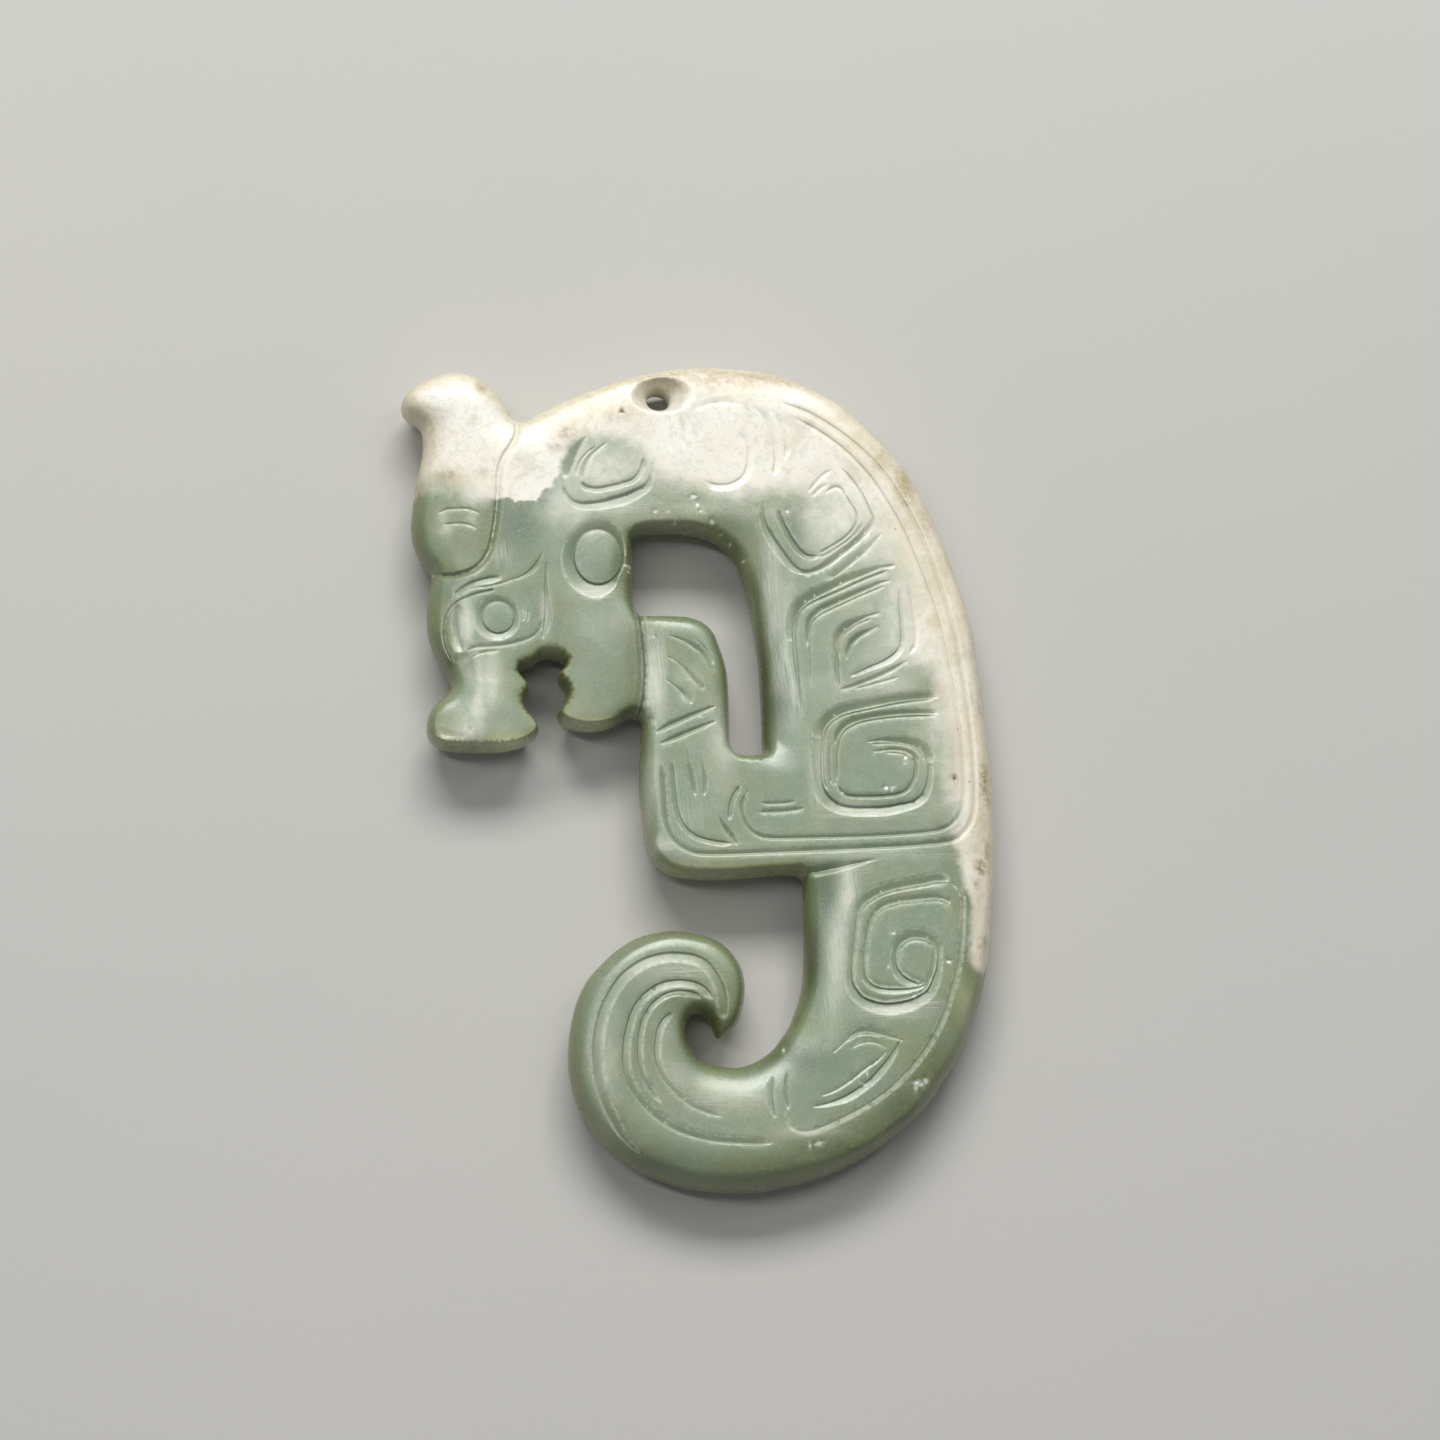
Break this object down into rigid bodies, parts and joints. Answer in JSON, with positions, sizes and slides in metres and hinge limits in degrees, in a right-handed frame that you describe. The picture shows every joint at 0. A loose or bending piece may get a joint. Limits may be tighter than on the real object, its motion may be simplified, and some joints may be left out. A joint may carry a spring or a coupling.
{
  "type": "jade dragon pendant",
  "caption": "Flat carved jade pendant in the form of a crouching dragon with an arched back and curled tail, drilled through the crest for a cord.",
  "frame": {"origin": "middle of the back face, on the surface that the pendant lies on", "axes": "+Y from the curled tail to the crest of the back, +Z out of the show face, +X from the dragon's snout to its back"},
  "size_m": [0.045, 0.0628, 0.0056],
  "materials": {
    "jade": "waxy polish"
  },
  "bodies": {
    "root": {"pendant": "jade"}
  },
  "joints": []
}
